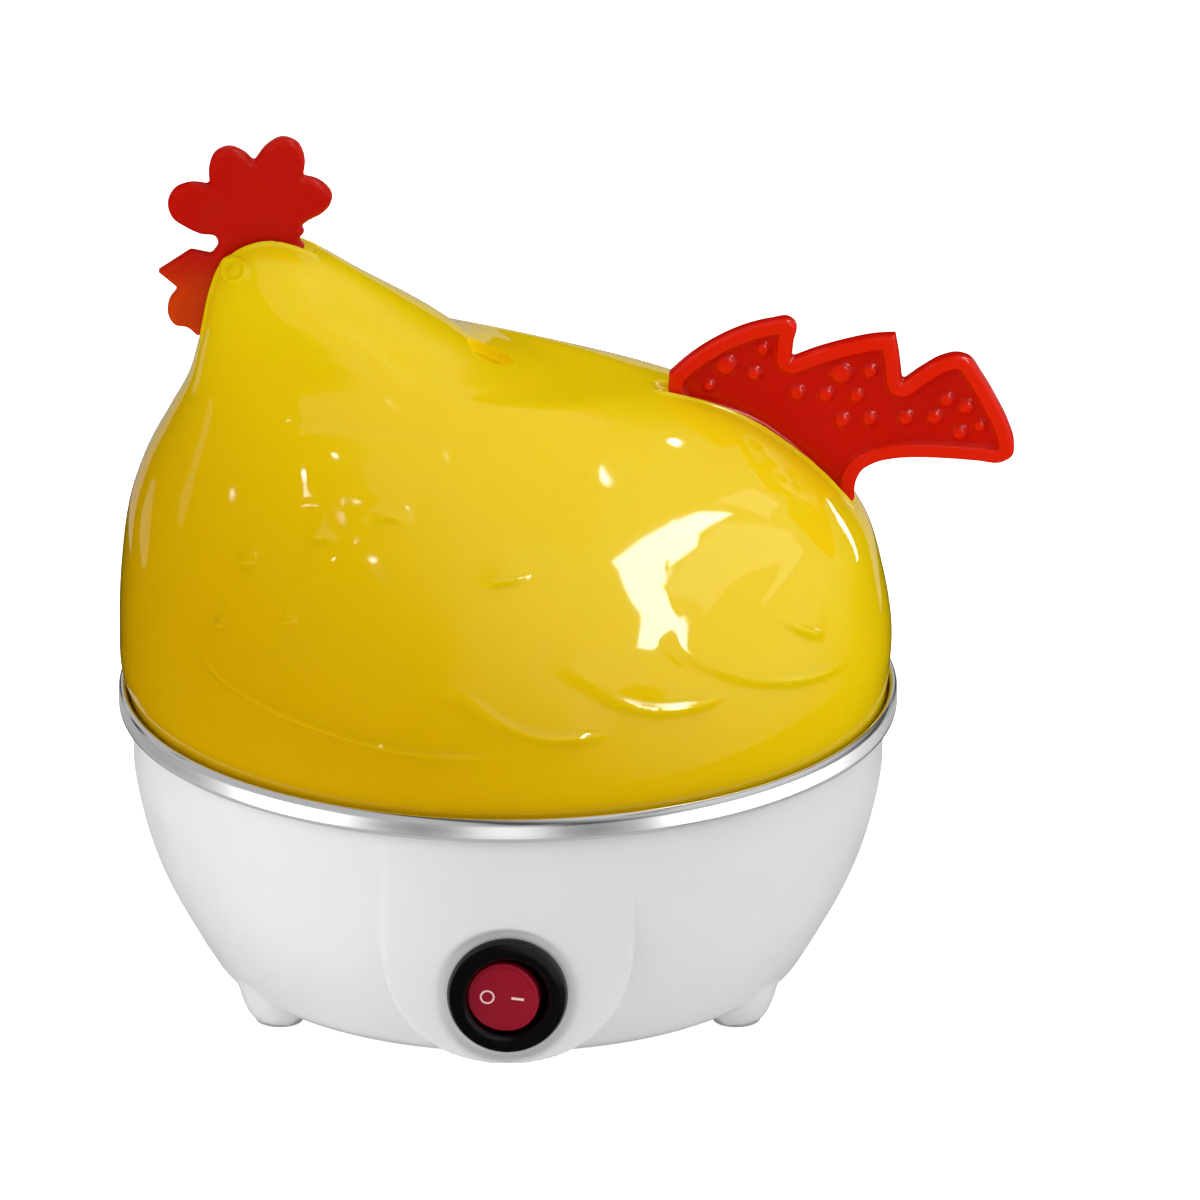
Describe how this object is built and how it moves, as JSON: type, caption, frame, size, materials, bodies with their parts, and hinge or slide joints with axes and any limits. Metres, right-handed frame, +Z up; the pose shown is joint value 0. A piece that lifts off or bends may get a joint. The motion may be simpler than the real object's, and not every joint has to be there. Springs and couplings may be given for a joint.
{
  "type": "egg cooker",
  "caption": "Hen-shaped electric egg cooker: yellow lift-off lid with red comb and tail, egg tray, metal heating dish and white bowl base with a round rocker switch.",
  "frame": {"origin": "centre of the bounding box's footprint, on the table top under the feet", "axes": "+Z up; -Y is the side with the rocker switch; the hen looks towards -X and its tail points to +X"},
  "size_m": [0.1604, 0.1396, 0.16],
  "materials": {
    "lid_yellow": "high gloss, moulded",
    "comb_red": "gloss, soft edges",
    "housing_white": "satin",
    "tray_ivory": "satin",
    "switch_black": "gloss",
    "rocker_red": "tinted, glossy",
    "nylon": "plain",
    "pad_rubber": "matte",
    "lamp_glass": "clear",
    "wire_sleeve": "woven glass sleeve",
    "steel": "bright",
    "element_sheath": "oxidised",
    "aluminium": "plain",
    "brass": "plain"
  },
  "bodies": {
    "base": {"base_housing": "housing_white", "heating_dish": "steel", "bottom_cover": "housing_white", "cover_screw_1": "steel", "cover_screw_2": "steel", "cover_screw_3": "steel", "foot_pad_front_left": "pad_rubber", "foot_pad_front_right": "pad_rubber", "foot_pad_rear": "pad_rubber", "heater_element": "element_sheath", "heater_clamp": "aluminium", "clamp_nut_1": "steel", "clamp_nut_2": "steel", "clamp_nut_3": "steel", "thermostat": "steel", "thermostat_screw_1": "steel", "thermostat_screw_2": "steel", "thermal_fuse": "steel", "fuse_clip": "steel", "terminal_block": "nylon", "block_screw_1": "brass", "block_screw_2": "brass", "cord_gland": "switch_black", "wire_block_to_switch": "wire_sleeve", "wire_switch_to_thermostat": "wire_sleeve", "wire_thermostat_to_heater": "wire_sleeve", "wire_heater_to_fuse": "wire_sleeve", "wire_fuse_to_block": "wire_sleeve", "switch_housing": "switch_black", "switch_terminal_1": "brass", "switch_terminal_2": "brass", "switch_terminal_3": "brass", "neon_lamp": "lamp_glass"},
    "tray": {"egg_tray": "tray_ivory"},
    "lid": {"lid_shell": "lid_yellow", "comb_and_beak": "comb_red", "tail_fan": "comb_red"},
    "rocker": {"switch_rocker": "rocker_red", "switch_plunger": "nylon", "plunger_spring": "steel"},
    "lever": {"contact_lever": "brass"}
  },
  "joints": [
    {"name": "tray_lift", "type": "slide", "parent": "base", "child": "tray", "axis": [0, 0, 1], "range_m": [0, 0.05]},
    {"name": "lid_lift", "type": "slide", "parent": "tray", "child": "lid", "axis": [0, 0, 1], "range_m": [0, 0.1]},
    {"name": "rocker_pivot", "type": "hinge", "parent": "base", "child": "rocker", "pos_m": [-0.0102, -0.0633, 0.0213], "axis": [0, 0, 1], "range_deg": [0, 20]},
    {"name": "lever_pivot", "type": "hinge", "parent": "base", "child": "lever", "pos_m": [-0.0102, -0.0561, 0.0213], "axis": [0, 0, 1], "range_deg": [-16, 0]}
  ],
  "couplings": [
    {"joint": "lever_pivot", "follows": "rocker_pivot", "ratio": -0.8}
  ]
}
